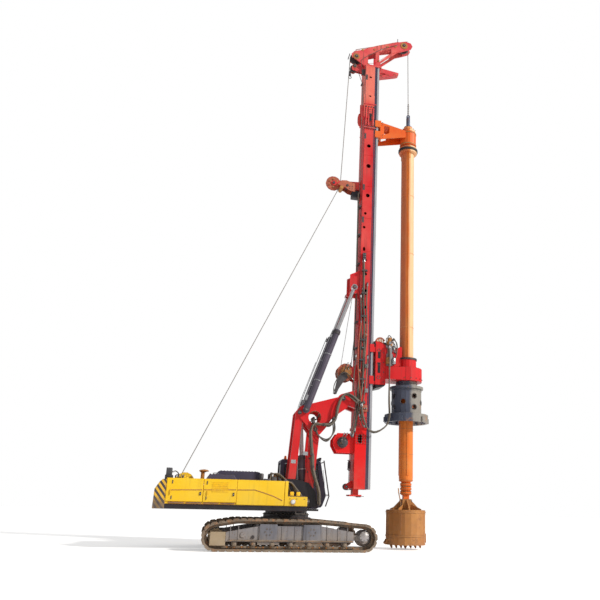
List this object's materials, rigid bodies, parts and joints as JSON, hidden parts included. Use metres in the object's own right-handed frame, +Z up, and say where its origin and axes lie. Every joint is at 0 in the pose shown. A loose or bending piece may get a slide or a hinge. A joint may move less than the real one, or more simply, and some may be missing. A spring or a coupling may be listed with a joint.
{
  "type": "rotary piling rig",
  "caption": "Tracked rotary drilling rig with a leader mast on a parallel boom, a rotary drive with a casing adapter, a telescopic kelly bar and a drilling bucket",
  "frame": {"origin": "centre of the bottom of the bounding box, on the ground under the machine", "axes": "+X forward to the mast and the drilling tool, +Y to the machine's left, +Z up along the mast"},
  "size_m": [9.28, 3.98, 20.8139],
  "materials": {
    "red_paint": "semi-gloss red paint",
    "orange_paint": "worn orange paint",
    "yellow_paint": "semi-gloss yellow paint",
    "dark_paint": "dark satin paint",
    "cylinder_paint": "dark satin paint",
    "steel_blue": "bare dark steel",
    "frame_grey": "dusty grey paint",
    "track_steel": "rusty worn steel",
    "rust": "rusted steel",
    "chrome_rod": "polished chrome",
    "black_steel": "black satin paint",
    "seat_fabric": "dark woven cover"
  },
  "bodies": {
    "undercarriage": {"car_body": "dark_paint", "track_frame_right": "frame_grey", "track_frame_left": "frame_grey", "track_right": "track_steel", "track_left": "track_steel", "final_drive_right": "rust", "final_drive_left": "rust"},
    "upper": {"turntable": "black_steel", "counterweight": "yellow_paint", "house": "yellow_paint", "exhaust": "rust", "engine": "frame_grey", "tank": "yellow_paint", "valve_cover": "yellow_paint", "tool_box": "yellow_paint", "air_box": "dark_paint", "cab_shell": "dark_paint", "cab_seat": "seat_fabric"},
    "rear_door_r": {"rear_door_right": "yellow_paint"},
    "rear_door_l": {"rear_door_left": "yellow_paint"},
    "engine_door_r": {"engine_door_right": "yellow_paint"},
    "engine_door_l": {"engine_door_left": "yellow_paint"},
    "hood": {"engine_hood": "dark_paint"},
    "door": {"cab_door": "dark_paint"},
    "main_drum": {"main_winch": "yellow_paint"},
    "boom_arms": {"boom": "red_paint"},
    "rear_links": {"rear_link": "red_paint"},
    "lift_barrels": {"lift_barrel_right": "cylinder_paint", "lift_barrel_left": "cylinder_paint"},
    "lift_rods": {"lift_rod_right": "chrome_rod", "lift_rod_left": "chrome_rod"},
    "mast_support": {"triangle": "red_paint"},
    "stay_barrels": {"stay_barrel_right": "cylinder_paint", "stay_barrel_left": "cylinder_paint"},
    "stay_rods": {"stay_rod_right": "chrome_rod", "stay_rod_left": "chrome_rod"},
    "mast": {"mast_lower": "red_paint", "mast_middle": "red_paint", "mast_upper": "red_paint", "mast_head": "red_paint"},
    "crowd_drum": {"crowd_winch": "black_steel"},
    "aux_drum": {"aux_winch": "red_paint"},
    "front_sheave": {"head_sheave_front": "black_steel"},
    "rear_sheave": {"head_sheave_rear": "black_steel"},
    "lower_sheave": {"aux_sheave": "black_steel"},
    "pulley": {"mid_sheave": "black_steel"},
    "foot_sheave": {"crowd_sheave": "black_steel"},
    "drive": {"rotary_drive": "red_paint", "drive_motors": "frame_grey"},
    "adapter": {"casing_adapter": "steel_blue"},
    "guide": {"kelly_guide": "orange_paint"},
    "outer_bar": {"kelly_outer": "orange_paint"},
    "inner_bar": {"kelly_inner": "steel_blue", "bucket": "rust"},
    "rope_swivel": {"swivel": "steel_blue"},
    "bucket_lid": {"bucket_door": "rust"}
  },
  "joints": [
    {"name": "slew", "type": "hinge", "parent": "undercarriage", "child": "upper", "pos_m": [-0.41, 0, 1.1], "axis": [0, 0, 1], "continuous": true},
    {"name": "rear_door_right_hinge", "type": "hinge", "parent": "upper", "child": "rear_door_r", "pos_m": [-3.186, -1.41, 1.4], "axis": [0, 0, 1], "range_deg": [0, 100]},
    {"name": "rear_door_left_hinge", "type": "hinge", "parent": "upper", "child": "rear_door_l", "pos_m": [-3.186, 1.41, 1.4], "axis": [0, 0, -1], "range_deg": [0, 100]},
    {"name": "engine_door_right_hinge", "type": "hinge", "parent": "upper", "child": "engine_door_r", "pos_m": [-2.156, -1.41, 1.4], "axis": [0, 0, 1], "range_deg": [0, 100]},
    {"name": "engine_door_left_hinge", "type": "hinge", "parent": "upper", "child": "engine_door_l", "pos_m": [-2.156, 1.41, 1.4], "axis": [0, 0, -1], "range_deg": [0, 100]},
    {"name": "engine_hood_hinge", "type": "hinge", "parent": "upper", "child": "hood", "pos_m": [-3.13, 0.06, 2.1003], "axis": [-1, 0, 0], "range_deg": [0, 70]},
    {"name": "cab_door_hinge", "type": "hinge", "parent": "upper", "child": "door", "pos_m": [-0.43, 1.4373, 1.36], "axis": [0, 0, 1], "range_deg": [0, 85]},
    {"name": "main_winch_spin", "type": "hinge", "parent": "upper", "child": "main_drum", "pos_m": [-3.79, 0, 2.02], "axis": [0, 1, 0], "continuous": true},
    {"name": "boom_lift", "type": "hinge", "parent": "upper", "child": "boom_arms", "pos_m": [0.23, 0, 1.5], "axis": [0, 1, 0], "range_deg": [-12, 15]},
    {"name": "rear_link_swing", "type": "hinge", "parent": "upper", "child": "rear_links", "pos_m": [-0.34, 0, 2.06], "axis": [0, 1, 0], "range_deg": [-12, 15]},
    {"name": "support_level", "type": "hinge", "parent": "boom_arms", "child": "mast_support", "pos_m": [0.38, 0, 3.88], "axis": [0, 1, 0], "range_deg": [-15, 12]},
    {"name": "lift_barrel_swing", "type": "hinge", "parent": "upper", "child": "lift_barrels", "pos_m": [0.13, 0, 1.52], "axis": [0, 1, 0], "range_deg": [-9.99, 12.49]},
    {"name": "lift_rod_stroke", "type": "slide", "parent": "lift_barrels", "child": "lift_rods", "axis": [-0.0737, 0, 0.9973], "range_m": [-0.0878, 0.0703]},
    {"name": "mast_tilt", "type": "hinge", "parent": "mast_support", "child": "mast", "pos_m": [1.33, 0, 5.01], "axis": [0, 1, 0], "range_deg": [-15, 5]},
    {"name": "stay_barrel_swing", "type": "hinge", "parent": "mast_support", "child": "stay_barrels", "pos_m": [0.01, 0, 4.52], "axis": [0, 1, 0], "range_deg": [-12.46, 4.16]},
    {"name": "stay_rod_stroke", "type": "slide", "parent": "stay_barrels", "child": "stay_rods", "axis": [0.3205, 0, 0.9472], "range_m": [-0.3039, 0.1014]},
    {"name": "crowd_winch_spin", "type": "hinge", "parent": "mast", "child": "crowd_drum", "pos_m": [1.39, 0, 3.5], "axis": [0, 1, 0], "continuous": true},
    {"name": "aux_winch_spin", "type": "hinge", "parent": "mast", "child": "aux_drum", "pos_m": [1.44, 0, 6.01], "axis": [0, 1, 0], "continuous": true},
    {"name": "head_sheave_front_spin", "type": "hinge", "parent": "mast", "child": "front_sheave", "pos_m": [3.52, 0, 20.57], "axis": [0, 1, 0], "continuous": true},
    {"name": "head_sheave_rear_spin", "type": "hinge", "parent": "mast", "child": "rear_sheave", "pos_m": [1.43, 0, 19.6], "axis": [0, 1, 0], "continuous": true},
    {"name": "aux_sheave_spin", "type": "hinge", "parent": "mast", "child": "lower_sheave", "pos_m": [1.37, 0, 19.1], "axis": [0, 1, 0], "continuous": true},
    {"name": "mid_sheave_spin", "type": "hinge", "parent": "mast", "child": "pulley", "pos_m": [0.71, 0, 13.6], "axis": [0, 1, 0], "continuous": true},
    {"name": "crowd_sheave_spin", "type": "hinge", "parent": "mast", "child": "foot_sheave", "pos_m": [1.61, 0, 2.02], "axis": [0, 1, 0], "continuous": true},
    {"name": "drive_feed", "type": "slide", "parent": "mast", "child": "drive", "axis": [0, 0, 1], "range_m": [-2.2, 2.5]},
    {"name": "adapter_spin", "type": "hinge", "parent": "drive", "child": "adapter", "pos_m": [3.79, 0, 5.81], "axis": [0, 0, 1], "continuous": true},
    {"name": "kelly_guide_travel", "type": "slide", "parent": "mast", "child": "guide", "axis": [0, 0, 1], "range_m": [-7.6, 1.9]},
    {"name": "kelly_spin", "type": "hinge", "parent": "guide", "child": "outer_bar", "pos_m": [3.79, 0, 16.46], "axis": [0, 0, 1], "continuous": true},
    {"name": "kelly_extend", "type": "slide", "parent": "outer_bar", "child": "inner_bar", "axis": [0, 0, -1], "range_m": [0, 11]},
    {"name": "swivel_spin", "type": "hinge", "parent": "inner_bar", "child": "rope_swivel", "pos_m": [3.79, 0, 16.62], "axis": [0, 0, 1], "continuous": true},
    {"name": "bucket_door_hinge", "type": "hinge", "parent": "inner_bar", "child": "bucket_lid", "pos_m": [3.058, 0, 0.2], "axis": [0, 1, 0], "range_deg": [0, 70]}
  ],
  "couplings": [
    {"joint": "rear_link_swing", "follows": "boom_lift", "ratio": 1},
    {"joint": "support_level", "follows": "boom_lift", "ratio": -1},
    {"joint": "lift_barrel_swing", "follows": "boom_lift", "ratio": 0.8319},
    {"joint": "lift_rod_stroke", "follows": "boom_lift", "m_per_rad": -0.3346},
    {"joint": "stay_barrel_swing", "follows": "mast_tilt", "ratio": 0.83},
    {"joint": "stay_rod_stroke", "follows": "mast_tilt", "m_per_rad": 1.1601}
  ]
}
